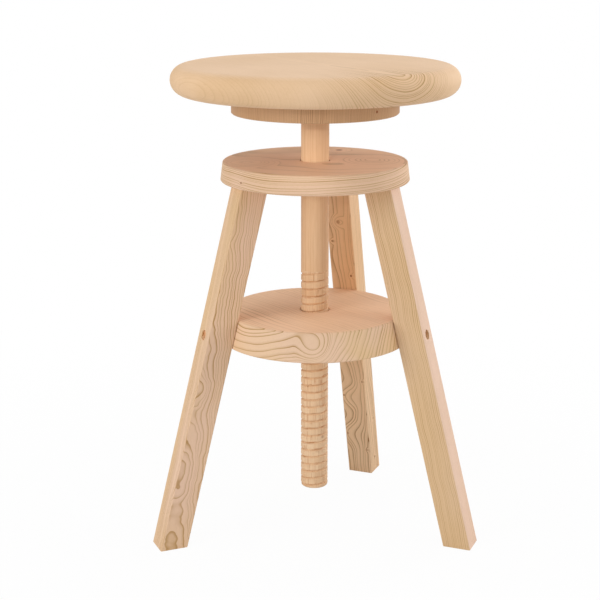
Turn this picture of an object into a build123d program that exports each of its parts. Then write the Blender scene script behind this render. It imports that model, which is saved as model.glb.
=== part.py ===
from build123d import *
from math import ceil, cos, hypot, radians, tan
import os

# Adjustable stool in solid pine: a round seat on a wooden screw, which turns up and down
# in the threaded lower plate of a three-legged base. Millimetres, +Z up, with the origin
# on the floor under the spindle's axis.

# Seat: a disc with a fully rounded rim
SEAT_DIAMETER = 300.0
SEAT_THICKNESS = 30.0
SEAT_HEIGHT = 506.0  # top of the seat above the floor, as photographed

# Flange under the seat
FLANGE_DIAMETER = 175.0
FLANGE_THICKNESS = 20.0
FLANGE_EASE = 1.0  # chamfer along its edges

# Wood screws that hold the flange to the seat, driven from below
FLANGE_SCREW_COUNT = 4
FLANGE_SCREW_CIRCLE = 120.0
FLANGE_SCREW_DIAMETER = 5.0
FLANGE_SCREW_LENGTH = 35.0
FLANGE_SCREW_HEAD = 9.6
FLANGE_SCREW_HEAD_DEPTH = 2.6
FLANGE_SCREW_TIP = 6.0

# Spindle: a turned rod with a helical groove over its lower part
SPINDLE_DIAMETER = 29.5
SPINDLE_END = 43.0  # lower end above the floor, as photographed
SPINDLE_END_EASE = 1.2  # chamfer round the lower end
THREAD_LENGTH = 246.0
THREAD_LEAD = 8.25
THREAD_DEPTH = 1.5
GROOVE_WIDTH = 3.0  # at the spindle's surface
THREAD_CLEARANCE = 0.35
THREAD_MOUTH = 1.5  # lead-in at both ends of the nut's thread
TURNS_PER_PASS = 6

# Shouldered tenon that carries the flange, clamped by a lag screw and a washer
TENON_DIAMETER = 20.0
TENON_SHORT = 0.5  # the tenon stops this far under the washer
LAG_DIAMETER = 8.0
LAG_LENGTH = 60.0
LAG_TIP = 8.0
LAG_HEAD_ACROSS = 13.0
LAG_HEAD_HEIGHT = 5.5
LAG_HEAD_ROOM = 0.5  # between the head and the seat's underside
WASHER_DIAMETER = 28.0
WASHER_THICKNESS = 3.0
WASHER_CLEARANCE = 0.5

# Upper plate: guides the spindle and rests on the legs
SEAT_GAP = 50.0  # from its top to the flange, as photographed
UPPER_PLATE_THICKNESS = 20.0
UPPER_PLATE_DIAMETER = 194.0  # at its top
UPPER_PLATE_FLARE = 2.5  # how much its radius grows towards the underside
UPPER_BORE_CLEARANCE = 1.2

# Lower plate: holds the legs apart and is the nut of the screw
LOWER_PLATE_TOP = 244.5
LOWER_PLATE_THICKNESS = 30.0
LEG_SEAT_WIDTH = 22.0  # flats on the rim, one for each leg
PLATE_EASE = 1.0  # chamfer along the rims of both plates

# Legs: square section, leaning in, two of them a quarter turn apart
LEG_SECTION = 29.0
LEG_SPLAY = 14.0  # degrees from upright
LEG_SPREAD = 169.0  # axis of the stool to the leg's middle, on the floor
LEG_PAIR_ANGLE = 90.0  # degrees between the two legs on the right
LEG_EASE = 1.2  # rounding of the long edges

# Dowels between legs and upper plate
DOWEL_DIAMETER = 8.0
DOWEL_LENGTH = 36.0
DOWEL_IN_PLATE = 13.0
DOWEL_SPACING = 14.0
DOWEL_SHIFT = 2.0  # outwards from the middle of the leg's end
DOWEL_ROOM = 1.0  # depth left for glue

# Screws through the legs into the lower plate's rim, under recessed wooden plugs
LEG_SCREW_DIAMETER = 6.3
LEG_SCREW_LENGTH = 60.0
LEG_SCREW_TIP = 7.0
LEG_SCREW_HEAD = 9.6
LEG_SCREW_HEAD_HEIGHT = 4.0
COUNTERBORE_DIAMETER = 10.6
COUNTERBORE_DEPTH = 14.0
PLUG_RECESS = 3.0

FIT = 0.1  # radial play of screws, dowels, plugs and the tenon in their holes
OVERRUN = 10.0  # how far a cutting tool runs past the face it cuts

# Heights and radii that follow from the sizes above
seat_bottom = SEAT_HEIGHT - SEAT_THICKNESS
flange_bottom = seat_bottom - FLANGE_THICKNESS
spindle_radius = SPINDLE_DIAMETER / 2
thread_top = SPINDLE_END + THREAD_LENGTH
lag_head_top = seat_bottom - LAG_HEAD_ROOM
washer_top = lag_head_top - LAG_HEAD_HEIGHT
washer_bottom = washer_top - WASHER_THICKNESS
tenon_top = washer_bottom - TENON_SHORT
upper_plate_top = flange_bottom - SEAT_GAP
upper_plate_bottom = upper_plate_top - UPPER_PLATE_THICKNESS
lower_plate_bottom = LOWER_PLATE_TOP - LOWER_PLATE_THICKNESS
leg_screw_height = LOWER_PLATE_TOP - LOWER_PLATE_THICKNESS / 2
leg_lean = tan(radians(LEG_SPLAY))
leg_depth = LEG_SECTION / cos(radians(LEG_SPLAY))  # cut level, measured outwards

leg_places = {
    "left": 180.0,
    "front_right": 360.0 - LEG_PAIR_ANGLE / 2,
    "rear_right": LEG_PAIR_ANGLE / 2,
}


def leg_middle(height):
    return LEG_SPREAD - height * leg_lean


def leg_inside(height):
    return leg_middle(height) - leg_depth / 2


def leg_outside(height):
    return leg_middle(height) + leg_depth / 2


counterbore_floor = leg_outside(leg_screw_height) - COUNTERBORE_DEPTH
leg_screw_top = counterbore_floor + LEG_SCREW_HEAD_HEIGHT
plug_end = leg_outside(leg_screw_height) - PLUG_RECESS


def turned(*points):
    # a solid of revolution about Z, from (radius, height) points
    return revolve(make_face(Plane.XZ * Polyline(*points, close=True)), Axis.Z)


def bar(radius, low, high):
    return turned((0, low), (radius, low), (radius, high), (0, high))


def plate(top_radius, bottom_radius, low, high, ease):
    blank = turned((0, low), (bottom_radius, low), (top_radius, high), (0, high))
    return chamfer(blank.edges().filter_by(GeomType.CIRCLE), ease)


def threaded_rod(play, low, high, rod_low, rod_high):
    # A rod with a right-hand V groove between low and high, both within the rod's ends. The
    # groove passes +X at every whole lead above the floor, so that the spindle and the tap
    # for its nut run in each other. Play sets the tap's faces that far off the spindle's.
    # The groove is cut a few turns at a time, as on a lathe.
    radius = spindle_radius + play
    spread = GROOVE_WIDTH / 2 / THREAD_DEPTH
    root = spindle_radius - THREAD_DEPTH + play * hypot(1, 1 / spread)
    mouth = radius + THREAD_DEPTH
    half_mouth = (mouth - root) * spread
    profile = Polyline((root, 0, 0), (mouth, 0, -half_mouth), (mouth, 0, half_mouth), close=True)
    seam = 180 * (low + high) / THREAD_LEAD + 90  # keeps the rod's joint line off the ends
    rod = Rot(0, 0, seam) * bar(radius, rod_low, rod_high)
    passes = ceil((high - low) / THREAD_LEAD / TURNS_PER_PASS)
    step = (high - low) / passes
    tool = sweep(make_face(profile), path=Helix(THREAD_LEAD, step, root), is_frenet=True)
    for number in range(passes):
        start = low + number * step
        rod -= Location((0, 0, start), (0, 0, 360 * start / THREAD_LEAD)) * tool
    return rod


def countersunk_screw(play=0.0):
    # head on z = 0, pointing up
    shank = FLANGE_SCREW_DIAMETER / 2 + play
    length = FLANGE_SCREW_LENGTH + play
    return turned(
        (0, 0),
        (FLANGE_SCREW_HEAD / 2 + play, 0),
        (shank, FLANGE_SCREW_HEAD_DEPTH),
        (shank, length - FLANGE_SCREW_TIP),
        (0, length),
    )


def flange_screw_places():
    circle = PolarLocations(FLANGE_SCREW_CIRCLE / 2, FLANGE_SCREW_COUNT, 45)
    return [Pos(0, 0, flange_bottom) * place for place in circle]


def lag_shank(play=0.0):
    radius = LAG_DIAMETER / 2 + play
    end = washer_top - LAG_LENGTH - play
    return turned((0, washer_top), (radius, washer_top), (radius, end + LAG_TIP), (0, end))


def leg_screw_shank(play=0.0):
    # along the leg's own +X, from the counterbore's floor towards the stool's axis
    radius = LEG_SCREW_DIAMETER / 2 + play
    length = LEG_SCREW_LENGTH + play
    shank = turned((0, 0), (radius, 0), (radius, length - LEG_SCREW_TIP), (0, length))
    return Location((counterbore_floor, 0, leg_screw_height), (0, -90, 0)) * shank


def level_bar(radius, start, end):
    return Location((start, 0, leg_screw_height), (0, 90, 0)) * bar(radius, 0, end - start)


def dowel_pair(play=0.0, room=0.0):
    high = upper_plate_bottom + DOWEL_IN_PLATE
    dowel = bar(DOWEL_DIAMETER / 2 + play, high - DOWEL_LENGTH - room, high + room)
    x = leg_middle(upper_plate_bottom) + DOWEL_SHIFT
    return [Pos(x, side * DOWEL_SPACING / 2, 0) * dowel for side in (-1, 1)]


def leg_frame():
    # where the leg's middle meets the floor, with Z along the leg
    return Location((LEG_SPREAD, 0, 0), (0, -LEG_SPLAY, 0))


def make_seat():
    flat = SEAT_DIAMETER / 2 - SEAT_THICKNESS / 2
    middle = seat_bottom + SEAT_THICKNESS / 2
    faces = Polyline((flat, seat_bottom), (0, seat_bottom), (0, SEAT_HEIGHT), (flat, SEAT_HEIGHT))
    rim = ThreePointArc((flat, seat_bottom), (SEAT_DIAMETER / 2, middle), (flat, SEAT_HEIGHT))
    seat = revolve(make_face(Plane.XZ * (faces + rim)), Axis.Z)
    return seat - [place * countersunk_screw(FIT) for place in flange_screw_places()]


def make_flange():
    radius = FLANGE_DIAMETER / 2
    flange = plate(radius, radius, flange_bottom, seat_bottom, FLANGE_EASE)
    flange -= bar(TENON_DIAMETER / 2 + FIT, flange_bottom - OVERRUN, seat_bottom)
    pocket = WASHER_DIAMETER / 2 + WASHER_CLEARANCE
    flange -= bar(pocket, washer_bottom, seat_bottom + OVERRUN)
    return flange - [place * countersunk_screw(FIT) for place in flange_screw_places()]


def make_flange_screws():
    return Compound([(place * countersunk_screw()).solid() for place in flange_screw_places()])


def make_spindle():
    start = SPINDLE_END - THREAD_LEAD  # the groove runs out through the lower end
    rod = threaded_rod(0, start, thread_top, start - THREAD_LEAD, flange_bottom)
    rod += bar(TENON_DIAMETER / 2, flange_bottom, tenon_top)
    below = start - THREAD_LEAD - OVERRUN
    wide = spindle_radius + OVERRUN
    end_cut = turned(
        (0, below),
        (wide, below),
        (wide, SPINDLE_END + SPINDLE_END_EASE + OVERRUN),
        (spindle_radius - SPINDLE_END_EASE, SPINDLE_END),
        (0, SPINDLE_END),
    )
    return rod - end_cut - lag_shank(FIT)


def make_lag_screw():
    head = extrude(RegularPolygon(LAG_HEAD_ACROSS / 2, 6, major_radius=False), LAG_HEAD_HEIGHT)
    return lag_shank() + Pos(0, 0, washer_top) * head


def make_washer():
    hole = LAG_DIAMETER / 2 + WASHER_CLEARANCE
    ring = bar(WASHER_DIAMETER / 2, washer_bottom, washer_top)
    return ring - bar(hole, washer_bottom - OVERRUN, washer_top + OVERRUN)


def make_upper_plate():
    top = UPPER_PLATE_DIAMETER / 2
    blank = plate(top, top + UPPER_PLATE_FLARE, upper_plate_bottom, upper_plate_top, PLATE_EASE)
    bore = spindle_radius + UPPER_BORE_CLEARANCE
    blank -= bar(bore, upper_plate_bottom - OVERRUN, upper_plate_top + OVERRUN)
    for azimuth in leg_places.values():
        blank -= [Rot(0, 0, azimuth) * hole for hole in dowel_pair(FIT, DOWEL_ROOM)]
    return blank


def make_lower_plate():
    top = hypot(leg_inside(LOWER_PLATE_TOP), LEG_SEAT_WIDTH / 2)
    bottom = top + LOWER_PLATE_THICKNESS * leg_lean
    blank = plate(top, bottom, lower_plate_bottom, LOWER_PLATE_TOP, PLATE_EASE)
    reach = 2 * LOWER_PLATE_TOP
    outside = Box(LEG_SPREAD, LEG_SPREAD, reach, align=(Align.MIN, Align.CENTER, Align.MIN))
    for azimuth in leg_places.values():
        turn = Rot(0, 0, azimuth)
        blank -= turn * leg_frame() * Pos(-LEG_SECTION / 2, 0, 0) * outside
        blank -= turn * leg_screw_shank(FIT)
    low = lower_plate_bottom - THREAD_LEAD
    high = LOWER_PLATE_TOP + THREAD_LEAD
    tap = threaded_rod(THREAD_CLEARANCE, low, high, low - THREAD_LEAD, high + THREAD_LEAD)
    blank -= tap
    bore = spindle_radius + THREAD_CLEARANCE
    for face, way in ((lower_plate_bottom, -1), (LOWER_PLATE_TOP, 1)):
        blank -= turned(
            (0, face - way * THREAD_MOUTH),
            (bore, face - way * THREAD_MOUTH),
            (bore + THREAD_MOUTH + OVERRUN, face + way * OVERRUN),
            (0, face + way * OVERRUN),
        )
    return blank


def make_leg():
    length = 2 * LEG_SECTION + upper_plate_bottom / cos(radians(LEG_SPLAY))
    stick = Box(LEG_SECTION, LEG_SECTION, length, align=(Align.CENTER, Align.CENTER, Align.MIN))
    stick = fillet(stick.edges().filter_by(Axis.Z), LEG_EASE)
    stick = leg_frame() * Pos(0, 0, -LEG_SECTION) * stick
    span = 2 * (LEG_SPREAD + LEG_SECTION)
    level = Box(span, span, upper_plate_bottom, align=(Align.CENTER, Align.CENTER, Align.MIN))
    leg = stick & level
    leg -= dowel_pair(FIT, DOWEL_ROOM)
    leg -= leg_screw_shank(FIT)
    counterbore_end = leg_outside(leg_screw_height) + OVERRUN
    return leg - level_bar(COUNTERBORE_DIAMETER / 2, counterbore_floor, counterbore_end)


def make_leg_screw():
    return leg_screw_shank() + level_bar(LEG_SCREW_HEAD / 2, counterbore_floor, leg_screw_top)


def make_leg_plug():
    return level_bar(COUNTERBORE_DIAMETER / 2 - FIT, leg_screw_top, plug_end)


pieces = {
    "seat": make_seat(),
    "seat_flange": make_flange(),
    "flange_screws": make_flange_screws(),
    "spindle": make_spindle(),
    "spindle_lag_screw": make_lag_screw(),
    "spindle_washer": make_washer(),
    "upper_plate": make_upper_plate(),
    "lower_plate": make_lower_plate(),
}
leg_set = {
    "leg": make_leg(),
    "leg_screw": make_leg_screw(),
    "leg_plug": make_leg_plug(),
    "leg_dowels": Compound([dowel.solid() for dowel in dowel_pair()]),
}
for place, azimuth in leg_places.items():
    for name, shape in leg_set.items():
        pieces[f"{name}_{place}"] = Rot(0, 0, azimuth) * shape

os.makedirs("parts", exist_ok=True)
for name, shape in pieces.items():
    export_step(shape, f"parts/{name}.step")
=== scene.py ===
import math

import bmesh
import bpy
from mathutils import Matrix, Vector


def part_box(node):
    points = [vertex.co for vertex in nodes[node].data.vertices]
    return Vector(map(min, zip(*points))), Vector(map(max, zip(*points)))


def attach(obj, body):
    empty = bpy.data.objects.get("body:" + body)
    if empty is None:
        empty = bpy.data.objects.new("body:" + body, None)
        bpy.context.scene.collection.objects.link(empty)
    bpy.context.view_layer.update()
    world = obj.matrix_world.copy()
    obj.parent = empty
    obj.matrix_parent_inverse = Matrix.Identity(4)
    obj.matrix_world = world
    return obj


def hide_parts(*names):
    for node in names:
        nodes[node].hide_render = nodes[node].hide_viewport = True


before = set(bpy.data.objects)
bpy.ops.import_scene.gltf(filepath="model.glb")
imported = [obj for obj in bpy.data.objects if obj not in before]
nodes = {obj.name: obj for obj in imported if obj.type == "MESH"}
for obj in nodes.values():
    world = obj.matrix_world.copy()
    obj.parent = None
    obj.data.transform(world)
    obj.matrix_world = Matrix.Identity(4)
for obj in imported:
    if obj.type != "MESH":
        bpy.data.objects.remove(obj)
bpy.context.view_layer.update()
print("frame loaded:", len(nodes), "nodes")


def tone(red, green, blue):
    # a screen colour, 0 to 255, as linear values
    parts = [value / 255 for value in (red, green, blue)]
    return [p / 12.92 if p <= 0.04045 else ((p + 0.055) / 1.055) ** 2.4 for p in parts] + [1.0]


def addNode(tree, kind, inputs=None, **settings):
    node = tree.nodes.new(kind)
    for name, value in settings.items():
        setattr(node, name, value)
    for key, value in (inputs or {}).items():
        if isinstance(value, bpy.types.NodeSocket):
            tree.links.new(value, node.inputs[key])
        else:
            node.inputs[key].default_value = value
    return node


def calc(tree, operation, *values):
    node = addNode(tree, "ShaderNodeMath", dict(enumerate(values)), operation=operation)
    return node.outputs[0]


def calcVector(tree, operation, *values):
    node = addNode(tree, "ShaderNodeVectorMath", dict(enumerate(values)), operation=operation)
    return node.outputs["Value" if operation in ("LENGTH", "DOT_PRODUCT") else "Vector"]


def remap(tree, value, fromLow, fromHigh, toLow, toHigh, smooth=False):
    kind = "SMOOTHSTEP" if smooth else "LINEAR"
    inputs = {"Value": value, 1: fromLow, 2: fromHigh, 3: toLow, 4: toHigh}
    return addNode(tree, "ShaderNodeMapRange", inputs, interpolation_type=kind).outputs[0]


def fromMiddle(tree, value):
    # how far a value lies from the middle of its whole step
    return calc(tree, "ABSOLUTE", calc(tree, "SUBTRACT", calc(tree, "FRACT", value), 0.5))


def mixColour(tree, factor, first, second):
    node = addNode(tree, "ShaderNodeMix", data_type="RGBA")
    for index, value in ((0, factor), (6, first), (7, second)):
        if isinstance(value, bpy.types.NodeSocket):
            tree.links.new(value, node.inputs[index])
        else:
            node.inputs[index].default_value = value
    return node.outputs[2]


def newGroup(name, kind, inputs, outputs):
    group = bpy.data.node_groups.new(name, kind)
    for label, socketType, value in inputs:
        socket = group.interface.new_socket(label, in_out="INPUT", socket_type=socketType)
        if value is not None:
            socket.default_value = value
    for label, socketType in outputs:
        group.interface.new_socket(label, in_out="OUTPUT", socket_type=socketType)
    return group, group.nodes.new("NodeGroupInput").outputs, group.nodes.new("NodeGroupOutput")


# How pine grows, the same in every log. Scales are in turns to the metre.
pineHabit = {
    "driftDetail": 2.5,
    "driftRoughness": 0.45,
    "weatherPace": 0.31,  # how soon wide years give way to narrow ones
    "weatherSwing": 2.2,  # in years
    # how dark the wood is through one year, from spring to the next spring
    "season": ((0.0, 0.06), (0.5, 0.05), (0.8, 0.36), (0.92, 1.0), (0.98, 0.9), (1.0, 0.06)),
    "faintestYear": 0.45,
    "fadeScale": (30.0, 30.0, 9.0),
    "fadeLog": 3.7,
    "fadeRange": (0.65, 1.35),
    "fibreScale": (950.0, 950.0, 24.0),
    "fibreDetail": 3.0,
    "fibreRoughness": 0.6,
}


# Growth rings of a pine log. The vector's Z runs along the log, with the pith at X = Y = 0.
def makePineFigure():
    group, given, result = newGroup(
        "pineFigure",
        "ShaderNodeTree",
        (
            ("Vector", "NodeSocketVector", None),
            ("Ring Spacing", "NodeSocketFloat", 0.0025),
            ("Wander", "NodeSocketFloat", 0.006),
            ("Wander Scale", "NodeSocketVector", (14.0, 14.0, 5.0)),
            ("Patch Scale", "NodeSocketVector", (16.0, 16.0, 4.0)),
            ("Knot Pull", "NodeSocketFloat", 0.0),
            ("Log", "NodeSocketFloat", 0.0),
        ),
        (
            ("Late Wood", "NodeSocketFloat"),
            ("Streak", "NodeSocketFloat"),
            ("Tint", "NodeSocketFloat"),
        ),
    )
    # the rings drift slowly off true circles along the log
    drift = addNode(
        group,
        "ShaderNodeTexNoise",
        {
            "Vector": calcVector(group, "MULTIPLY", given["Vector"], given["Wander Scale"]),
            "W": given["Log"],
            "Scale": 1.0,
            "Detail": pineHabit["driftDetail"],
            "Roughness": pineHabit["driftRoughness"],
        },
        noise_dimensions="4D",
    )
    centred = calcVector(group, "SUBTRACT", drift.outputs["Color"], (0.5, 0.5, 0.5))
    amount = addNode(group, "ShaderNodeVectorMath", {0: centred}, operation="SCALE")
    group.links.new(given["Wander"], amount.inputs["Scale"])
    moved = calcVector(group, "ADD", given["Vector"], amount.outputs[0])
    flat = calcVector(group, "MULTIPLY", moved, (1.0, 1.0, 0.0))
    radius = calcVector(group, "LENGTH", flat)
    year = calc(group, "DIVIDE", radius, given["Ring Spacing"])
    year = calc(group, "ADD", year, given["Knot Pull"])
    # wide and narrow years
    slowYear = calc(group, "MULTIPLY_ADD", year, pineHabit["weatherPace"], given["Log"])
    weather = addNode(
        group,
        "ShaderNodeTexNoise",
        {"W": slowYear, "Scale": 1.0, "Detail": 1.0},
        noise_dimensions="1D",
    )
    year = calc(group, "MULTIPLY_ADD", weather.outputs[0], pineHabit["weatherSwing"], year)
    season = calc(group, "FRACT", year)
    ramp = addNode(group, "ShaderNodeValToRGB", {"Fac": season})
    stops = pineHabit["season"]
    elements = ramp.color_ramp.elements
    for place, shade in stops[1:-1]:
        elements.new(place)
    for element, (place, shade) in zip(elements, stops):
        element.position = place
        element.color = (shade, shade, shade, 1.0)
    luck = addNode(
        group,
        "ShaderNodeTexWhiteNoise",
        {"W": calc(group, "ADD", calc(group, "FLOOR", year), given["Log"])},
        noise_dimensions="1D",
    )
    strength = remap(group, luck.outputs[0], 0.0, 1.0, pineHabit["faintestYear"], 1.0)
    # the lines come and go along a board
    fading = addNode(
        group,
        "ShaderNodeTexNoise",
        {
            "Vector": calcVector(group, "MULTIPLY", moved, pineHabit["fadeScale"]),
            "W": calc(group, "ADD", given["Log"], pineHabit["fadeLog"]),
            "Scale": 1.0,
            "Detail": 2.0,
        },
        noise_dimensions="4D",
    )
    fade = remap(group, fading.outputs[0], 0.35, 0.65, *pineHabit["fadeRange"])
    strength = calc(group, "MULTIPLY", strength, fade)
    late = calc(group, "MULTIPLY", ramp.outputs[0], strength)
    # fibres are short across the log and long with it
    fibre = addNode(
        group,
        "ShaderNodeTexNoise",
        {
            "Vector": calcVector(group, "MULTIPLY", moved, pineHabit["fibreScale"]),
            "Scale": 1.0,
            "Detail": pineHabit["fibreDetail"],
            "Roughness": pineHabit["fibreRoughness"],
        },
    )
    patch = addNode(
        group,
        "ShaderNodeTexNoise",
        {
            "Vector": calcVector(group, "MULTIPLY", moved, given["Patch Scale"]),
            "W": given["Log"],
            "Scale": 1.0,
            "Detail": 2.0,
        },
        noise_dimensions="4D",
    )
    group.links.new(late, result.inputs["Late Wood"])
    group.links.new(fibre.outputs[0], result.inputs["Streak"])
    group.links.new(remap(group, patch.outputs[0], 0.3, 0.7, 0.0, 1.0), result.inputs["Tint"])
    return group


knotHabit = {"reach": 4.5, "coreEdge": (0.55, 1.1)}  # in radii of the knot


# A small knot: a dark core, and a pull that leads the rings round it
def makePineKnot():
    group, given, result = newGroup(
        "pineKnot",
        "ShaderNodeTree",
        (
            ("Vector", "NodeSocketVector", None),
            ("Place", "NodeSocketVector", (0.0, 0.0, 0.0)),
            ("Radius", "NodeSocketFloat", 0.003),
            ("Pull", "NodeSocketFloat", 1.5),
            ("Dark", "NodeSocketFloat", 1.0),
            ("Pull So Far", "NodeSocketFloat", 0.0),
            ("Core So Far", "NodeSocketFloat", 0.0),
        ),
        (("Pull", "NodeSocketFloat"), ("Core", "NodeSocketFloat")),
    )
    offset = calcVector(group, "SUBTRACT", given["Vector"], given["Place"])
    away = calc(group, "DIVIDE", calcVector(group, "LENGTH", offset), given["Radius"])
    near = remap(group, away, 0.0, knotHabit["reach"], 1.0, 0.0, smooth=True)
    pull = calc(group, "MULTIPLY_ADD", near, given["Pull"], given["Pull So Far"])
    core = remap(group, away, *knotHabit["coreEdge"], 1.0, 0.0)
    core = calc(group, "MULTIPLY", core, given["Dark"])
    core = calc(group, "MAXIMUM", core, given["Core So Far"])
    group.links.new(pull, result.inputs["Pull"])
    group.links.new(core, result.inputs["Core"])
    return group


# How a wooden thread tears. Widths are shares of a block or of a turn.
tearHabit = {
    "turnStep": 3.7,  # keeps the blocks of two turns apart in the noise
    "unevenScale": 0.9,
    "uneven": 4.0,
    "wholeBlocks": 0.25,  # this share has no split at its side
    "splitEdge": (0.36, 0.46),
    "splitShare": 0.9,
    "tornScale": 130.0,
    "tornDetail": 3.0,
    "fray": 0.3,  # how far the groove's painted shade line strays
    "step": 0.22,  # and how far it steps from block to block
    "grooveShadeEdge": (0.38, 0.48),
    "grooveShadeRange": (1.5, 0.1),
    "ticks": 130.0,  # short fibres round one turn
    "tickStep": 5.1,
    "tickShare": 0.7,
}


# A wooden thread breaks up along the grain: its crest falls into short blocks
def makeTornThread():
    group, given, result = newGroup(
        "tornThread",
        "ShaderNodeTree",
        (
            ("Vector", "NodeSocketVector", None),
            ("Lead", "NodeSocketFloat", 0.008),
            ("Blocks", "NodeSocketFloat", 11.0),
            ("Thread Top", "NodeSocketFloat", 0.3),
        ),
        (("Pale", "NodeSocketFloat"), ("Dark", "NodeSocketFloat")),
    )
    axes = addNode(group, "ShaderNodeSeparateXYZ", {0: given["Vector"]}).outputs
    around = calc(group, "DIVIDE", calc(group, "ARCTAN2", axes[1], axes[0]), 2 * math.pi)
    climb = calc(group, "SUBTRACT", calc(group, "DIVIDE", axes[2], given["Lead"]), around)
    turn = calc(group, "FLOOR", climb)
    shift = addNode(
        group,
        "ShaderNodeTexWhiteNoise",
        {"W": turn},
        noise_dimensions="1D",
    ).outputs[0]
    along = calc(group, "ADD", calc(group, "MULTIPLY", around, given["Blocks"]), shift)
    place = addNode(
        group,
        "ShaderNodeCombineXYZ",
        {0: along, 1: calc(group, "MULTIPLY", turn, tearHabit["turnStep"])},
    )
    uneven = addNode(
        group,
        "ShaderNodeTexNoise",
        {"Vector": place.outputs[0], "Scale": tearHabit["unevenScale"], "Detail": 1.0},
    )
    along = calc(group, "MULTIPLY_ADD", uneven.outputs[0], tearHabit["uneven"], along)
    block = addNode(group, "ShaderNodeCombineXYZ", {0: calc(group, "FLOOR", along), 1: turn})
    luck = addNode(
        group,
        "ShaderNodeTexWhiteNoise",
        {"Vector": block.outputs[0]},
        noise_dimensions="2D",
    ).outputs[0]
    # stretches of the thread are clean, others are full of torn fibre
    torn = addNode(
        group,
        "ShaderNodeTexNoise",
        {
            "Vector": given["Vector"],
            "Scale": tearHabit["tornScale"],
            "Detail": tearHabit["tornDetail"],
        },
    ).outputs[0]
    split = fromMiddle(group, along)
    split = remap(group, split, *tearHabit["splitEdge"], 0.0, 1.0)
    loose = calc(group, "GREATER_THAN", luck, tearHabit["wholeBlocks"])
    split = calc(group, "MULTIPLY", split, loose)
    opened = remap(group, torn, 0.42, 0.62, 0.0, tearHabit["splitShare"])
    split = calc(group, "MULTIPLY", split, opened)
    # the dark line along the groove is painted shade in the recess; the torn-fibre noise varies
    # how strong it is
    stray = calc(group, "MULTIPLY", calc(group, "SUBTRACT", torn, 0.5), tearHabit["fray"])
    step = calc(group, "MULTIPLY", calc(group, "SUBTRACT", luck, 0.5), tearHabit["step"])
    stray = calc(group, "ADD", stray, step)
    groove = fromMiddle(group, calc(group, "ADD", climb, stray))
    groove = remap(group, groove, *tearHabit["grooveShadeEdge"], 0.0, 1.0)
    grooveShadeStrength = remap(group, torn, 0.35, 0.6, *tearHabit["grooveShadeRange"])
    groove = calc(group, "MULTIPLY", groove, grooveShadeStrength)
    # short fibres stand across the crest, on some turns
    ends = addNode(
        group,
        "ShaderNodeCombineXYZ",
        {
            0: calc(group, "MULTIPLY", around, tearHabit["ticks"]),
            1: calc(group, "MULTIPLY", turn, tearHabit["tickStep"]),
        },
    )
    ticks = addNode(
        group,
        "ShaderNodeTexNoise",
        {"Vector": ends.outputs[0], "Scale": 1.0, "Detail": 0.0},
    )
    ticks = remap(group, ticks.outputs[0], 0.5, 0.7, 0.0, 1.0)
    shown = remap(group, shift, 0.35, 0.65, 0.0, tearHabit["tickShare"])
    ticks = calc(group, "MULTIPLY", ticks, shown)
    below = calc(group, "LESS_THAN", axes[2], given["Thread Top"])
    pale = calc(group, "MULTIPLY", luck, below)
    # the dark mask holds the torn fibre and the groove's painted shade
    dark = calc(group, "MAXIMUM", calc(group, "MAXIMUM", split, groove), ticks)
    dark = calc(group, "MULTIPLY", dark, below)
    group.links.new(pale, result.inputs["Pale"])
    group.links.new(dark, result.inputs["Dark"])
    return group


pineFigure = makePineFigure()
pineKnot = makePineKnot()
tornThread = makeTornThread()
print("grain groups made")


planed = {
    "faceFrom": 0.8,  # how square to a face counts as on it
    "lateGloss": 0.08,
    "lateRidge": 0.5,
    "bumpStrength": 0.35,
    "bumpDepth": 0.00015,
    "specular": 0.2,
}


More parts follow.
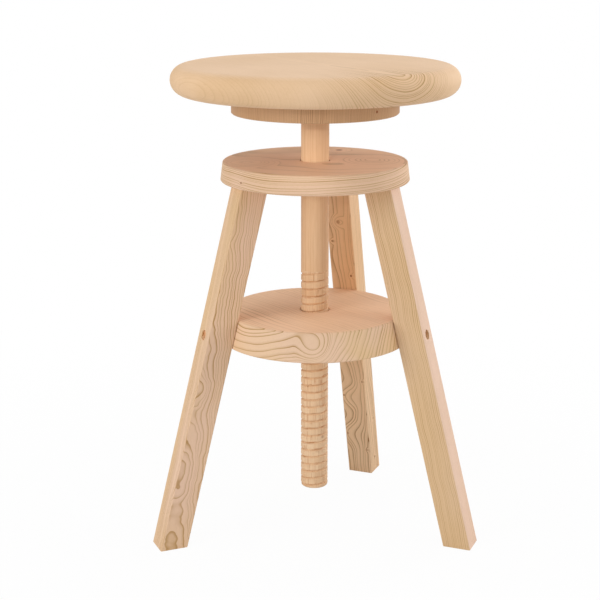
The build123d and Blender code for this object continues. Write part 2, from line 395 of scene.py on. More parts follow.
def makePine(name, wood):
    material = bpy.data.materials.new(name)
    material.use_nodes = True
    tree = material.node_tree
    shader = tree.nodes["Principled BSDF"]
    place = addNode(tree, "ShaderNodeTexCoord").outputs["Object"]
    log = addNode(
        tree,
        "ShaderNodeMapping",
        {
            "Vector": place,
            "Location": wood["pith"],
            "Rotation": [math.radians(angle) for angle in wood["logTurn"]],
        },
        vector_type="TEXTURE",
    ).outputs[0]
    pull, core = 0.0, 0.0
    for spot, radius, strength, dark in wood.get("knots", ()):
        knot = addNode(
            tree,
            "ShaderNodeGroup",
            {
                "Vector": place,
                "Place": spot,
                "Radius": radius,
                "Pull": strength,
                "Dark": dark,
                "Pull So Far": pull,
                "Core So Far": core,
            },
            node_tree=pineKnot,
        )
        pull, core = knot.outputs["Pull"], knot.outputs["Core"]
    figure = addNode(
        tree,
        "ShaderNodeGroup",
        {
            "Vector": log,
            "Ring Spacing": wood["ringSpacing"],
            "Wander": wood["wander"],
            "Wander Scale": wood["wanderScale"],
            "Patch Scale": wood["patchScale"],
            "Knot Pull": pull,
            "Log": wood["log"],
        },
        node_tree=pineFigure,
    ).outputs
    ground = mixColour(tree, figure["Tint"], wood["early"], wood["earlyWarm"])
    contrast = calc(tree, "MULTIPLY", figure["Late Wood"], wood["contrast"])
    # a paler tone on the face that facing names; on the plates' tops this is painted light,
    # standing for the light that reaches them
    if "face" in wood:
        normal = addNode(tree, "ShaderNodeTexCoord").outputs["Normal"]
        square = calc(tree, "ABSOLUTE", calcVector(tree, "DOT_PRODUCT", normal, wood["facing"]))
        broad = remap(tree, square, planed["faceFrom"], 1.0, 0.0, 1.0)
        clear = remap(tree, broad, 0.0, 1.0, 1.0, wood["faceContrast"])
        contrast = calc(tree, "MULTIPLY", contrast, clear)
        share = calc(tree, "MULTIPLY", broad, wood["faceShare"])
        ground = mixColour(tree, share, ground, wood["face"])
    if "bold" in wood:
        spot, reach, gain = wood["bold"]
        away = calcVector(tree, "LENGTH", calcVector(tree, "SUBTRACT", place, spot))
        bolder = remap(tree, away, 0.0, reach, gain, 1.0, smooth=True)
        contrast = calc(tree, "MULTIPLY", contrast, bolder)
    colour = mixColour(tree, contrast, ground, wood["late"])
    streak = remap(tree, figure["Streak"], 0.3, 0.7, -wood["streak"], wood["streak"])
    colour = mixColour(tree, calc(tree, "ABSOLUTE", streak), colour, wood["late"])
    if core:
        colour = mixColour(tree, core, colour, wood["knotColour"])
    if "thread" in wood:
        thread = wood["thread"]
        torn = addNode(
            tree,
            "ShaderNodeGroup",
            {
                "Vector": place,
                "Lead": thread["lead"],
                "Blocks": thread["blocks"],
                "Thread Top": thread["top"],
            },
            node_tree=tornThread,
        ).outputs
        for mask, tint in (("Pale", "pale"), ("Dark", "dark")):
            share = calc(tree, "MULTIPLY", torn[mask], thread[tint + "Share"])
            colour = mixColour(tree, share, colour, thread[tint])
    late = figure["Late Wood"]
    roughness = calc(tree, "MULTIPLY_ADD", late, -planed["lateGloss"], wood["roughness"])
    height = calc(tree, "MULTIPLY_ADD", late, planed["lateRidge"], figure["Streak"])
    bump = addNode(
        tree,
        "ShaderNodeBump",
        {
            "Strength": planed["bumpStrength"],
            "Distance": planed["bumpDepth"],
            "Height": height,
        },
    )
    tree.links.new(colour, shader.inputs["Base Color"])
    tree.links.new(roughness, shader.inputs["Roughness"])
    tree.links.new(bump.outputs[0], shader.inputs["Normal"])
    shader.inputs["Specular IOR Level"].default_value = planed["specular"]
    return material


# Bare pine, as each piece was sawn from its log. Turns are in degrees, places in metres.
# A knot has a place, a radius, how far it pulls the rings and how dark it is. A bold place
# has its centre, its reach and how much stronger the lines are there.
barePine = {
    "early": tone(234, 203, 176),
    "earlyWarm": tone(232, 199, 158),
    "late": tone(170, 127, 62),
    "knotColour": tone(140, 78, 42),
    "contrast": 0.82,
    "streak": 0.12,
    "roughness": 0.62,
    "ringSpacing": 0.0025,
    "wander": 0.008,
    "wanderScale": (14.0, 14.0, 5.0),
    "patchScale": (16.0, 16.0, 4.0),
    "facing": (0.0, 0.0, 1.0),  # which way a piece's own face looks, where it has one
}
photoTurn = -23.6  # the camera's place round the stool
seatPine = barePine | {
    "log": 1.7,
    "pith": (0.005, 0.0, 0.53),
    "logTurn": (0.0, 90.0, photoTurn - 56.0),
    "early": tone(231, 197, 161),
    "earlyWarm": tone(217, 180, 137),
    "face": tone(240, 208, 178),
    "faceShare": 0.5,
    "faceContrast": 1.6,
    "contrast": 0.16,
    "bold": ((0.03, -0.146, 0.488), 0.1, 7.5),  # the figure at the right of the rim
    "ringSpacing": 0.0024,
    "wander": 0.012,
    "wanderScale": (12.0, 12.0, 6.0),
    "patchScale": (9.0, 9.0, 13.0),
}
flangePine = barePine | {
    "log": 4.2,
    "pith": (0.147, -0.064, 0.462),
    "logTurn": (0.0, 90.0, photoTurn + 90.0),
    # painted shade: these tones are partly the flange's own wood, partly painted darker for the
    # shade under the seat's overhang
    "early": tone(204, 165, 127),
    "earlyWarm": tone(198, 156, 115),
    "late": tone(140, 96, 54),
    "contrast": 0.4,
    "bold": ((-0.0346, -0.0793, 0.462), 0.035, 3.4),  # over the spindle
    "ringSpacing": 0.0019,
    "knots": (((0.0313, -0.0817, 0.4646), 0.0016, 1.0, 1.0),),
}
upperPlatePine = barePine | {
    "log": 7.9,
    "pith": (0.0, 0.06, -1.0988),
    "logTurn": (0.0, 89.2, photoTurn + 4.0),
    "early": tone(230, 196, 170),
    "earlyWarm": tone(227, 192, 156),
    "face": tone(250, 212, 179),  # painted light: the plate's top is painted paler to stand for the light that reaches it under the seat
    "faceShare": 0.85,
    "faceContrast": 0.32,
    "bold": ((0.0565, -0.0223, 0.406), 0.05, 2.3),  # the arcs at the right of its top
    "ringSpacing": 0.0021,
    "wander": 0.012,
    "wanderScale": (9.0, 9.0, 6.0),
    "contrast": 1.3,
    "knots": (
        ((0.052, 0.0536, 0.406), 0.0042, 2.0, 0.9),
        ((-0.0698, 0.0172, 0.406), 0.009, 5.0, 0.0),
        ((0.0565, -0.0223, 0.406), 0.009, 5.0, 0.0),
        ((-0.0941, -0.0291, 0.3932), 0.0012, 0.6, 1.0),
    ),
}
lowerPlatePine = barePine | {
    "log": 11.3,
    "pith": (-0.1151, -0.034, 0.2895),
    "logTurn": (0.0, 88.0, photoTurn - 50.0),
    "early": tone(238, 204, 183),
    "earlyWarm": tone(231, 197, 154),
    # painted light: the top is painted paler to stand for the light that reaches it under the
    # upper plate
    "face": tone(246, 208, 174),
    "faceShare": 0.9,
    "faceContrast": 0.35,
    "contrast": 1.0,
    "ringSpacing": 0.0046,
    "wander": 0.03,
    "wanderScale": (12.0, 12.0, 8.0),
    "bold": ((-0.055, 0.015, 0.2445), 0.07, 2.6),  # the left of its top
    "knots": (((-0.0377, -0.0899, 0.2311), 0.0055, -4.0, 0.0),),
}
legShape = {"splay": 14.0, "spread": 0.169}
legPine = barePine | {
    "early": tone(235, 201, 178),
    "earlyWarm": tone(228, 193, 144),
    "contrast": 1.0,
    "ringSpacing": 0.0022,
    "wander": 0.007,
    "wanderScale": (16.0, 16.0, 7.0),
}
# The pith lies out from the leg's foot and aside from it. The log leans in the leg by two angles.
legs = {
    "left": {
        "azimuth": 180.0,
        "pithOut": 0.004,
        "pithAside": -0.04,
        "lean": (1.0, 5.0),
        "wood": {
            "log": 3.1,
            "ringSpacing": 0.0013,
            "wander": 0.006,
            "wanderScale": (20.0, 20.0, 34.0),
            "knots": (
                ((-0.158, -0.0145, 0.094), 0.0052, -2.8, 0.0),
                ((-0.1632, -0.0145, 0.073), 0.0052, -2.8, 0.0),
                ((-0.1375, -0.0145, 0.1779), 0.006, -1.6, 0.0),
            ),
        },
    },
    "front_right": {
        "azimuth": -45.0,
        "pithOut": -0.06,
        "pithAside": -0.045,
        "lean": (0.5, 0.4),
        "wood": {
            "log": 6.4,
            "ringSpacing": 0.0015,
            "wander": 0.009,
            "wanderScale": (16.0, 16.0, 18.0),
            "contrast": 0.85,
            "early": tone(230, 198, 164),
            "earlyWarm": tone(225, 190, 142),
            "face": tone(236, 204, 186),  # the outer face is the pinker one
            "faceShare": 0.8,
            "faceContrast": 0.8,
        },
    },
    "rear_right": {
        "azimuth": 45.0,
        "pithOut": 0.03,
        "pithAside": 0.03,
        "lean": (1.5, 1.0),
        "wood": {
            "log": 9.5,
            "early": tone(226, 195, 161),
            "earlyWarm": tone(236, 195, 150),
            "late": tone(140, 100, 58),
            "contrast": 0.6,
            "bold": ((0.1, 0.09, 0.07), 0.2, 2.0),  # stronger, darker lines on the lower half: partly its grain, partly painted shade for the darker lower leg
            "wander": 0.014,
            "wanderScale": (16.0, 16.0, 9.0),
            "knots": (
                ((0.0507, 0.0522, 0.3259), 0.0026, 2.5, 0.5),
                ((0.0484, 0.0629, 0.3024), 0.0012, 0.8, 0.7),
                ((0.0692, 0.0564, 0.2615), 0.0014, 1.0, 1.0),
                ((0.0816, 0.0992, 0.105), 0.006, 2.4, 0.0),
                ((0.0816, 0.0992, 0.105), 0.0013, 0.0, 0.8),
                ((0.0914, 0.1079, 0.0528), 0.006, 2.4, 0.0),
                ((0.0914, 0.1079, 0.0528), 0.0013, 0.0, 0.8),
                ((0.0951, 0.0784, 0.1258), 0.0012, 0.8, 0.7),
                ((0.111, 0.0954, 0.0324), 0.0012, 0.8, 0.7),
                ((0.1209, 0.1004, 0.0703), 0.0014, 1.0, 1.0),
                ((0.1276, 0.1071, 0.018), 0.0012, 0.8, 0.9),
            ),
        },
    },
}


def legWood(leg):
    turn = math.radians(leg["azimuth"])
    splay = math.radians(legShape["splay"])
    out = legShape["spread"] + leg["pithOut"]
    aside = leg["pithAside"]
    tilt, sway = leg["lean"]
    level = math.cos(splay)
    sawn = {
        "pith": (
            out * math.cos(turn) - aside * math.sin(turn),
            out * math.sin(turn) + aside * math.cos(turn),
            0.0,
        ),
        "logTurn": (tilt, sway - legShape["splay"], leg["azimuth"]),
        "facing": (level * math.cos(turn), level * math.sin(turn), math.sin(splay)),
    }
    return legPine | sawn | leg["wood"]


# Turned plugs, set end grain outwards. The left one is painted paler: painted light, for the
# light that falls straight into its hole.
brownPlug = {"face": tone(205, 152, 104), "pores": tone(158, 106, 64)}
litPlug = {"face": tone(240, 186, 138), "pores": tone(212, 154, 108)}
plugEnd = {"poreScale": 900.0, "roughness": 0.72, "bumpStrength": 0.3, "bumpDepth": 0.0002}


def makePlugWood(name, wood):
    material = bpy.data.materials.new(name)
    material.use_nodes = True
    tree = material.node_tree
    shader = tree.nodes["Principled BSDF"]
    place = addNode(tree, "ShaderNodeTexCoord").outputs["Object"]
    pores = addNode(
        tree,
        "ShaderNodeTexNoise",
        {"Vector": place, "Scale": plugEnd["poreScale"], "Detail": 3.0},
    )
    dots = remap(tree, pores.outputs[0], 0.42, 0.68, 0.0, 1.0)
    colour = mixColour(tree, dots, wood["face"], wood["pores"])
    tree.links.new(colour, shader.inputs["Base Color"])
    bump = addNode(
        tree,
        "ShaderNodeBump",
        {
            "Strength": plugEnd["bumpStrength"],
            "Distance": plugEnd["bumpDepth"],
            "Height": dots,
        },
    )
    tree.links.new(bump.outputs[0], shader.inputs["Normal"])
    shader.inputs["Roughness"].default_value = plugEnd["roughness"]
    return material


zinc = {"colour": tone(206, 206, 200), "spangleScale": 420.0, "roughness": (0.26, 0.4)}


def makeZincSteel():
    material = bpy.data.materials.new("zincSteel")
    material.use_nodes = True
    tree = material.node_tree
    shader = tree.nodes["Principled BSDF"]
    place = addNode(tree, "ShaderNodeTexCoord").outputs["Object"]
    spangle = addNode(
        tree,
        "ShaderNodeTexNoise",
        {"Vector": place, "Scale": zinc["spangleScale"], "Detail": 2.0},
    )
    roughness = remap(tree, spangle.outputs[0], 0.3, 0.7, *zinc["roughness"])
    tree.links.new(roughness, shader.inputs["Roughness"])
    shader.inputs["Base Color"].default_value = zinc["colour"]
    shader.inputs["Metallic"].default_value = 1.0
    return material


def dress(name, material):
    piece = nodes[name]
    piece.data.materials.clear()
    piece.data.materials.append(material)


brownPlugWood = makePlugWood("brownPlugWood", brownPlug)
palePlugWood = makePlugWood("palePlugWood", litPlug)
zincSteel = makeZincSteel()
dress("seat", makePine("seatPine", seatPine))
dress("seat_flange", makePine("flangePine", flangePine))
dress("upper_plate", makePine("upperPlatePine", upperPlatePine))
dress("lower_plate", makePine("lowerPlatePine", lowerPlatePine))
for side, leg in legs.items():
    # the left plug takes the copy painted paler for the light falling into its hole
    plugWood = palePlugWood if side == "left" else brownPlugWood
    dress(f"leg_{side}", makePine(f"legPine_{side}", legWood(leg)))
    dress(f"leg_plug_{side}", plugWood)
    dress(f"leg_dowels_{side}", palePlugWood)
    dress(f"leg_screw_{side}", zincSteel)
dress("spindle_lag_screw", zincSteel)
dress("spindle_washer", zincSteel)
print("CAD pieces dressed")


# The spindle's screw thread. Every row of the grid climbs one lead in one turn, so the rows
# follow the groove, and they lie closer together inside it.
spindleLow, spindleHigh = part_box("spindle")
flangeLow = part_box("seat_flange")[0]
screwThread = {
    "Radius": spindleHigh.x,
    "Lower End": spindleLow.z,
    "Lead": 0.00825,
    "Groove Depth": 0.0015,
    "Thread Top": 0.289,
    "Run Out": 0.004,
    "End Ease": 0.0012,
    "Columns": 80,
    "Rows per Turn": 12,
}
# where the groove starts, is deepest and ends in one turn, and the rows that lie in it
grooveSpan = {"start": 0.33, "middle": 0.5, "end": 0.67, "rowsFrom": 0.25, "rowsTo": 0.75}
tenon = {"radius": 0.01, "top": spindleHigh.z}
trim = {"sliver": 0.0003, "sameHeight": 1e-6, "sharpFrom": math.radians(24)}
spindlePine = barePine | {
    "log": 5.3,
    "pith": (0.042, -0.008, 0.0),
    "logTurn": (0.6, -0.4, 0.0),
    "early": tone(240, 206, 168),
    "earlyWarm": tone(236, 198, 156),
    "late": tone(196, 140, 88),
    "contrast": 0.6,
    "ringSpacing": 0.0016,
    "wander": 0.004,
    "streak": 0.2,
    "knots": (
        ((0.0035, -0.0143, 0.1027), 0.0019, 0.6, 0.8),
        ((-0.012, -0.0086, 0.1613), 0.0015, 0.4, 0.6),
    ),
    "thread": {
        "lead": screwThread["Lead"],
        "top": screwThread["Thread Top"],
        "blocks": 12.0,
        "pale": tone(249, 220, 184),
        "paleShare": 0.5,
        # the torn fibre's colour, also laid along the groove as painted shade
        "dark": tone(186, 124, 74),
        "darkShare": 0.54,
    },
}


def setCurve(node, points):
    # straight lines from point to point
    curve = node.mapping.curves[0]
    while len(curve.points) < len(points):
        curve.points.new(0.5, 0.5)
    for point, place in zip(curve.points, points):
        point.location = place
        point.handle_type = "VECTOR"
    node.mapping.update()


def finishTree(group, geometry, material, socket):
    real = addNode(group, "GeometryNodeRealizeInstances", {"Geometry": geometry})
    painted = addNode(
        group,
        "GeometryNodeSetMaterial",
        {"Geometry": real.outputs[0], "Material": material},
    )
    group.links.new(painted.outputs[0], socket)


def makeScrewThread():
    sizes = [(name, "NodeSocketInt" if isinstance(value, int) else "NodeSocketFloat", value)
             for name, value in screwThread.items()]
    group, given, result = newGroup(
        "screwThread",
        "GeometryNodeTree",
        sizes + [("Wood", "NodeSocketMaterial", None)],
        (("Spindle", "NodeSocketGeometry"),),
    )
    # two turns too many at either end, which are cut off later
    low = calc(group, "FLOOR", calc(group, "DIVIDE", given["Lower End"], given["Lead"]))
    low = calc(group, "SUBTRACT", low, 2.0)
    high = calc(group, "CEIL", calc(group, "DIVIDE", given["Thread Top"], given["Lead"]))
    high = calc(group, "ADD", high, 2.0)
    steps = calc(group, "MULTIPLY", calc(group, "SUBTRACT", high, low), given["Rows per Turn"])
    grid = addNode(
        group,
        "GeometryNodeMeshGrid",
        {
            "Size X": 1.0,
            "Size Y": steps,
            "Vertices X": calc(group, "ADD", given["Columns"], 1.0),
            "Vertices Y": calc(group, "ADD", steps, 1.0),
        },
    )
    spot = addNode(group, "GeometryNodeInputPosition").outputs[0]
    axes = addNode(group, "ShaderNodeSeparateXYZ", {0: spot}).outputs
    around = calc(group, "ADD", axes[0], 0.5)
    row = calc(group, "ROUND", calc(group, "MULTIPLY_ADD", steps, 0.5, axes[1]))
    turns = calc(group, "DIVIDE", row, given["Rows per Turn"])
    turn = calc(group, "FLOOR", calc(group, "ADD", turns, 0.0001))
    part = calc(group, "MAXIMUM", calc(group, "SUBTRACT", turns, turn), 0.0)
    spread = addNode(group, "ShaderNodeFloatCurve", {"Value": part})
    start, middle, end = grooveSpan["start"], grooveSpan["middle"], grooveSpan["end"]
    rows = ((grooveSpan["rowsFrom"], start), (grooveSpan["rowsTo"], end))
    setCurve(spread, ((0.0, 0.0), *rows, (1.0, 1.0)))
    groove = addNode(group, "ShaderNodeFloatCurve", {"Value": spread.outputs[0]})
    setCurve(groove, ((0.0, 0.0), (start, 0.0), (middle, 1.0), (end, 0.0), (1.0, 0.0)))
    climb = calc(group, "ADD", calc(group, "ADD", turn, low), spread.outputs[0])
    climb = calc(group, "ADD", calc(group, "SUBTRACT", climb, middle), around)
    height = calc(group, "MULTIPLY", climb, given["Lead"])
    fadeStart = calc(group, "SUBTRACT", given["Thread Top"], given["Run Out"])
    fade = remap(group, height, fadeStart, given["Thread Top"], 1.0, 0.0, smooth=True)
    depth = calc(group, "MULTIPLY", groove.outputs[0], given["Groove Depth"])
    radius = calc(group, "SUBTRACT", given["Radius"], calc(group, "MULTIPLY", depth, fade))
    # the lower end is eased, and the turns below it are kept from turning inside out
    past = calc(group, "SUBTRACT", height, given["Lower End"])
    past = calc(group, "SUBTRACT", past, given["End Ease"])
    past = calc(group, "MAXIMUM", past, calc(group, "MULTIPLY", given["End Ease"], -1.5))
    radius = calc(group, "MINIMUM", radius, calc(group, "ADD", given["Radius"], past))
    angle = calc(group, "MULTIPLY", around, 2 * math.pi)
    point = addNode(
        group,
        "ShaderNodeCombineXYZ",
        {
            0: calc(group, "MULTIPLY", radius, calc(group, "COSINE", angle)),
            1: calc(group, "MULTIPLY", radius, calc(group, "SINE", angle)),
            2: height,
        },
    )
    wound = addNode(
        group,
        "GeometryNodeSetPosition",
        {"Geometry": grid.outputs[0], "Position": point.outputs[0]},
    )
    closed = addNode(
        group,
        "GeometryNodeMergeByDistance",
        {"Geometry": wound.outputs[0], "Distance": 0.00001},
    )
    smooth = addNode(group, "GeometryNodeSetShadeSmooth", {"Geometry": closed.outputs[0]})
    finishTree(group, smooth.outputs[0], given["Wood"], result.inputs["Spindle"])
    return group


def grow(name, group, values):
    # runs a tree on an empty mesh and keeps what it makes as a plain mesh
    holder = bpy.data.objects.new(name + "Holder", bpy.data.meshes.new(name + "Holder"))
    bpy.context.scene.collection.objects.link(holder)
    modifier = holder.modifiers.new(name, "NODES")
    modifier.node_group = group
    for item in group.interface.items_tree:
        if item.in_out == "INPUT" and item.name in values:
            modifier[item.identifier] = values[item.name]
    graph = bpy.context.evaluated_depsgraph_get()
    mesh = bpy.data.meshes.new_from_object(holder.evaluated_get(graph))
    mesh.name = name
    bpy.data.objects.remove(holder)
    piece = bpy.data.objects.new(name, mesh)
    bpy.context.scene.collection.objects.link(piece)
    return piece


def rimLoop(mesh, height):
    return [edge for edge in mesh.edges
            if edge.is_boundary
            and all(abs(vert.co.z - height) < trim["sameHeight"] for vert in edge.verts)]


def cleanRim(mesh, height):
    # the cut leaves slivers where it crosses a row beside a column
    short = [edge for edge in rimLoop(mesh, height) if edge.calc_length() < trim["sliver"]]
    bmesh.ops.weld_verts(mesh, targetmap={edge.verts[0]: edge.verts[1] for edge in short})


def raiseLoop(mesh, loop, radius, height):
    # carries an open rim on to a new radius and height
    made = bmesh.ops.extrude_edge_only(mesh, edges=loop)["geom"]
    for vert in [item for item in made if isinstance(item, bmesh.types.BMVert)]:
        flat = Vector((vert.co.x, vert.co.y)).normalized() * radius
        vert.co = (flat.x, flat.y, height)
    return [item for item in made if isinstance(item, bmesh.types.BMEdge)]


def makeSpindle(wood):
    piece = grow("spindleThread", makeScrewThread(), screwThread | {"Wood": wood})
    mesh = bmesh.new()
    mesh.from_mesh(piece.data)
    plainFrom = screwThread["Thread Top"] + screwThread["Lead"] * 0.6
    for level, keepAbove in ((screwThread["Lower End"], True), (plainFrom, False)):
        bmesh.ops.bisect_plane(
            mesh,
            geom=mesh.verts[:] + mesh.edges[:] + mesh.faces[:],
            plane_co=(0.0, 0.0, level),
            plane_no=(0.0, 0.0, 1.0),
            clear_inner=keepAbove,
            clear_outer=not keepAbove,
        )
        cleanRim(mesh, level)
    bmesh.ops.contextual_create(mesh, geom=rimLoop(mesh, screwThread["Lower End"]))
    rim = rimLoop(mesh, plainFrom)
    for radius, height in (
        (screwThread["Radius"], flangeLow.z),
        (tenon["radius"], flangeLow.z),
        (tenon["radius"], tenon["top"]),
    ):
        rim = raiseLoop(mesh, rim, radius, height)
    bmesh.ops.contextual_create(mesh, geom=rim)
    bmesh.ops.recalc_face_normals(mesh, faces=mesh.faces[:])
    for face in mesh.faces:
        face.smooth = True
    for edge in mesh.edges:
        edge.smooth = len(edge.link_faces) == 2 and edge.calc_face_angle() < trim["sharpFrom"]
    mesh.to_mesh(piece.data)
    mesh.free()
    return piece


spindle = makeSpindle(makePine("spindlePine", spindlePine))
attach(spindle, "seat_and_spindle")
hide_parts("spindle")
print("spindle wound:", len(spindle.data.polygons), "faces")


# Countersunk screws under the flange, with a cross recess
flangeScrew = {
    "Circle": 0.12,
    "Count": 4,
    "First": math.radians(45.0),
    "Level": flangeLow.z,
    "headRadius": 0.0048,
    "headDepth": 0.0026,
    "shankRadius": 0.0025,
    "length": 0.035,
    "tip": 0.006,
    "recessLength": 0.0021,
    "recessWidth": 0.00055,
    "recessDepth": 0.0016,
    "recessTaper": 0.7,
    "sides": 32,
    "Stop": 1.31,  # how much further each screw was turned, in radians
}


def makeScrewBlank():
    # stands point up, with the face of its head on z = 0
    mesh = bmesh.new()
    sides = flangeScrew["sides"]
    long, wide = flangeScrew["recessLength"], flangeScrew["recessWidth"]
    corner = [(long, -wide), (long, wide), (wide, wide)]
    cross = []
    for quarter in range(4):
        turn = Matrix.Rotation(quarter * math.pi / 2, 3, "Z")
        cross += [mesh.verts.new(turn @ Vector((x, y, 0.0))) for x, y in corner]

    def ring(radius, height):
        steps = [2 * math.pi * step / sides for step in range(sides)]
        return [
            mesh.verts.new((radius * math.cos(step), radius * math.sin(step), height))
            for step in steps
        ]

    def skin(first, second):
        for index in range(len(first)):
            follow = (index + 1) % len(first)
            mesh.faces.new((first[index], first[follow], second[follow], second[index]))

    neck = flangeScrew["length"] - flangeScrew["tip"]
    rings = [
        ring(flangeScrew["headRadius"], 0.0),
        ring(flangeScrew["shankRadius"], flangeScrew["headDepth"]),
        ring(flangeScrew["shankRadius"], neck),
    ]
    for first, second in zip(rings, rings[1:]):
        skin(first, second)
    point = mesh.verts.new((0.0, 0.0, flangeScrew["length"]))
    for index in range(sides):
        mesh.faces.new((rings[-1][index], rings[-1][(index + 1) % sides], point))
    taper, depth = flangeScrew["recessTaper"], flangeScrew["recessDepth"]
    deep = [mesh.verts.new((vert.co.x * taper, vert.co.y * taper, depth)) for vert in cross]
    skin(cross, deep)
    mesh.faces.new(deep)
    border = []
    for loop in (rings[0], cross):
        follow = loop[1:] + loop[:1]
        border += [mesh.edges.get(pair) for pair in zip(loop, follow)]
    bmesh.ops.triangle_fill(mesh, edges=border, use_beauty=True)
    bmesh.ops.recalc_face_normals(mesh, faces=mesh.faces[:])
    data = bpy.data.meshes.new("screwBlank")
    mesh.to_mesh(data)
    mesh.free()
    blank = bpy.data.objects.new("screwBlank", data)
    bpy.context.scene.collection.objects.link(blank)
    return blank


def makeScrewCircle():
    group, given, result = newGroup(
        "screwCircle",
        "GeometryNodeTree",
        (
            ("Screw", "NodeSocketObject", None),
            ("Circle", "NodeSocketFloat", 0.12),
            ("Count", "NodeSocketInt", 4),
            ("First", "NodeSocketFloat", 0.0),
            ("Stop", "NodeSocketFloat", 0.0),
            ("Level", "NodeSocketFloat", 0.0),
            ("Metal", "NodeSocketMaterial", None),
        ),
        (("Screws", "NodeSocketGeometry"),),
    )
    circle = addNode(
        group,
        "GeometryNodeMeshCircle",
        {"Vertices": given["Count"], "Radius": calc(group, "MULTIPLY", given["Circle"], 0.5)},
    )
    turn = addNode(group, "ShaderNodeCombineXYZ", {2: given["First"]}).outputs[0]
    lift = addNode(group, "ShaderNodeCombineXYZ", {2: given["Level"]}).outputs[0]
    placed = addNode(
        group,
        "GeometryNodeTransform",
        {"Geometry": circle.outputs[0], "Translation": lift, "Rotation": turn},
    )
    # no two screws stop at the same angle
    index = addNode(group, "GeometryNodeInputIndex").outputs[0]
    angle = calc(group, "MULTIPLY", index, given["Stop"])
    stop = addNode(group, "ShaderNodeCombineXYZ", {2: angle}).outputs[0]
    screw = addNode(group, "GeometryNodeObjectInfo", {"Object": given["Screw"]})
    driven = addNode(
        group,
        "GeometryNodeInstanceOnPoints",
        {"Points": placed.outputs[0], "Instance": screw.outputs["Geometry"], "Rotation": stop},
    )
    finishTree(group, driven.outputs[0], given["Metal"], result.inputs["Screws"])
    return group


screwBlank = makeScrewBlank()
flangeScrews = grow(
    "flangeScrewSet",
    makeScrewCircle(),
    flangeScrew | {"Screw": screwBlank, "Metal": zincSteel},
)
bpy.data.objects.remove(screwBlank)
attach(flangeScrews, "seat_and_spindle")
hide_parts("flange_screws")
print("screws driven:", len(flangeScrews.data.polygons), "faces")


# Studio: pale floor, soft lamps, white behind
studio = {
    "floorSize": 12.0,
    "floorShade": 0.04,  # how much of the stool's shadow the camera sees
    "floorReach": 0.9,  # where the shadow has faded out
    "floorPaint": (0.75, 0.75, 0.75, 1.0),
    "white": (1.0, 1.0, 1.0, 1.0),
    "sky": 0.5,
    "aim": (0.0, 0.0, 0.3),
    # turned from the camera's side, raised above level, in degrees
    "lamps": {
        "key": {"turn": -52.0, "raised": 15.0, "distance": 2.2, "size": 1.1, "watts": 18.8},
        "fill": {"turn": 75.0, "raised": 16.0, "distance": 2.4, "size": 1.4, "watts": 15.0},
        "back": {"turn": 128.0, "raised": 22.0, "distance": 2.4, "size": 1.8, "watts": 17.0},
        "top": {"turn": -20.0, "raised": 80.0, "distance": 2.2, "size": 1.8, "watts": 11.5},
    },
    # a narrow beam into the gap under the seat
    "beam": {
        "turn": -12.0,
        "raised": 13.0,
        "distance": 2.2,
        "radius": 0.03,
        "watts": 54.0,
        "angle": 2.7,
        "aside": 0.015,
    },
}


def seenDirectly(tree):
    # 1 for the camera, mirrors and glass, 0 for the light that falls on the stool
    light = addNode(tree, "ShaderNodeLightPath").outputs
    seen = calc(tree, "MAXIMUM", light["Is Camera Ray"], light["Is Glossy Ray"])
    return calc(tree, "MAXIMUM", seen, light["Is Transmission Ray"])


def makeFloor():
    bpy.ops.mesh.primitive_plane_add(size=studio["floorSize"])
    floor = bpy.context.object
    floor.name = "studioFloor"
    material = bpy.data.materials.new("floorWhite")
    material.use_nodes = True
    tree = material.node_tree
    shader = tree.nodes["Principled BSDF"]
    shader.inputs["Base Color"].default_value = studio["floorPaint"]
    shader.inputs["Roughness"].default_value = 1.0
    shader.inputs["Specular IOR Level"].default_value = 0.0
    glow = addNode(tree, "ShaderNodeEmission", {"Color": studio["white"], "Strength": 1.0})
    away = calcVector(tree, "LENGTH", addNode(tree, "ShaderNodeTexCoord").outputs["Object"])
    lit = 1.0 - studio["floorShade"]
    white = remap(tree, away, 0.0, studio["floorReach"], lit, 1.0, smooth=True)
    share = calc(tree, "MULTIPLY", seenDirectly(tree), white)
    mixed = addNode(
        tree,
        "ShaderNodeMixShader",
        {0: share, 1: shader.outputs[0], 2: glow.outputs[0]},
    )
    tree.links.new(mixed.outputs[0], tree.nodes["Material Output"].inputs["Surface"])
    floor.data.materials.append(material)


def makeSky():
    world = bpy.data.worlds.new("studioWhite")
    bpy.context.scene.world = world
    world.use_nodes = True
    tree = world.node_tree
    strength = remap(tree, seenDirectly(tree), 0.0, 1.0, studio["sky"], 1.0)
    back = tree.nodes["Background"]
    back.inputs["Color"].default_value = studio["white"]
    tree.links.new(strength, back.inputs["Strength"])


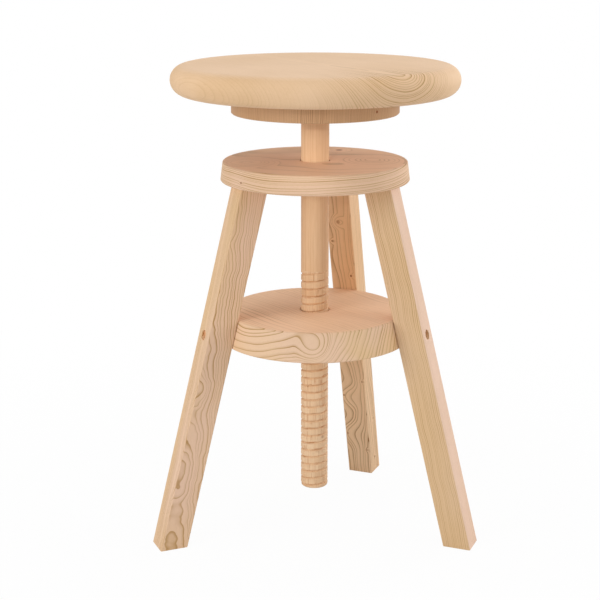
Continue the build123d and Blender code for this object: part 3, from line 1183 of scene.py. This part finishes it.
def aimLamp(data, lamp, aim):
    data.energy = lamp["watts"]
    light = bpy.data.objects.new(data.name, data)
    bpy.context.scene.collection.objects.link(light)
    turn = math.radians(photoTurn + lamp["turn"])
    raised = math.radians(lamp["raised"])
    level = math.cos(raised)
    away = Vector((math.sin(turn) * level, -math.cos(turn) * level, math.sin(raised)))
    light.location = Vector(aim) + away * lamp["distance"]
    light.rotation_euler = away.to_track_quat("Z", "Y").to_euler()


def makeLamps():
    for name, lamp in studio["lamps"].items():
        data = bpy.data.lights.new(name + "Lamp", "AREA")
        data.shape = "DISK"
        data.size = lamp["size"]
        aimLamp(data, lamp, studio["aim"])
    beam = studio["beam"]
    data = bpy.data.lights.new("beamLamp", "SPOT")
    data.spot_size = math.radians(beam["angle"])
    data.spot_blend = 1.0
    data.shadow_soft_size = beam["radius"]
    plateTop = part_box("upper_plate")[1].z
    turn = math.radians(photoTurn)
    aside = beam["aside"]
    aimLamp(data, beam, (aside * math.cos(turn), aside * math.sin(turn), plateTop))


# The camera, fitted to the outlines in the photograph
cameraFit = {
    "azimuth": photoTurn,
    "distance": 1.4668,  # level, from the spindle's axis
    "height": 0.644,
    "down": 14.876,  # degrees below level
    "aside": 0.62,
    "focal": 1410.88 / 600,  # in image widths
    "sensor": 36.0,
}


def makeCamera():
    data = bpy.data.cameras.new("photoCamera")
    data.sensor_width = cameraFit["sensor"]
    data.lens = cameraFit["focal"] * cameraFit["sensor"]
    data.clip_start, data.clip_end = 0.05, 50.0
    camera = bpy.data.objects.new("photoCamera", data)
    bpy.context.scene.collection.objects.link(camera)
    turn = math.radians(cameraFit["azimuth"])
    distance = cameraFit["distance"]
    camera.location = (math.sin(turn) * distance, -math.cos(turn) * distance, cameraFit["height"])
    camera.rotation_euler = (
        math.radians(90.0 - cameraFit["down"]),
        0.0,
        turn + math.radians(cameraFit["aside"]),
    )
    bpy.context.scene.camera = camera


makeFloor()
makeSky()
makeLamps()
makeCamera()
bpy.context.scene.view_settings.view_transform = "Standard"
print("studio set")
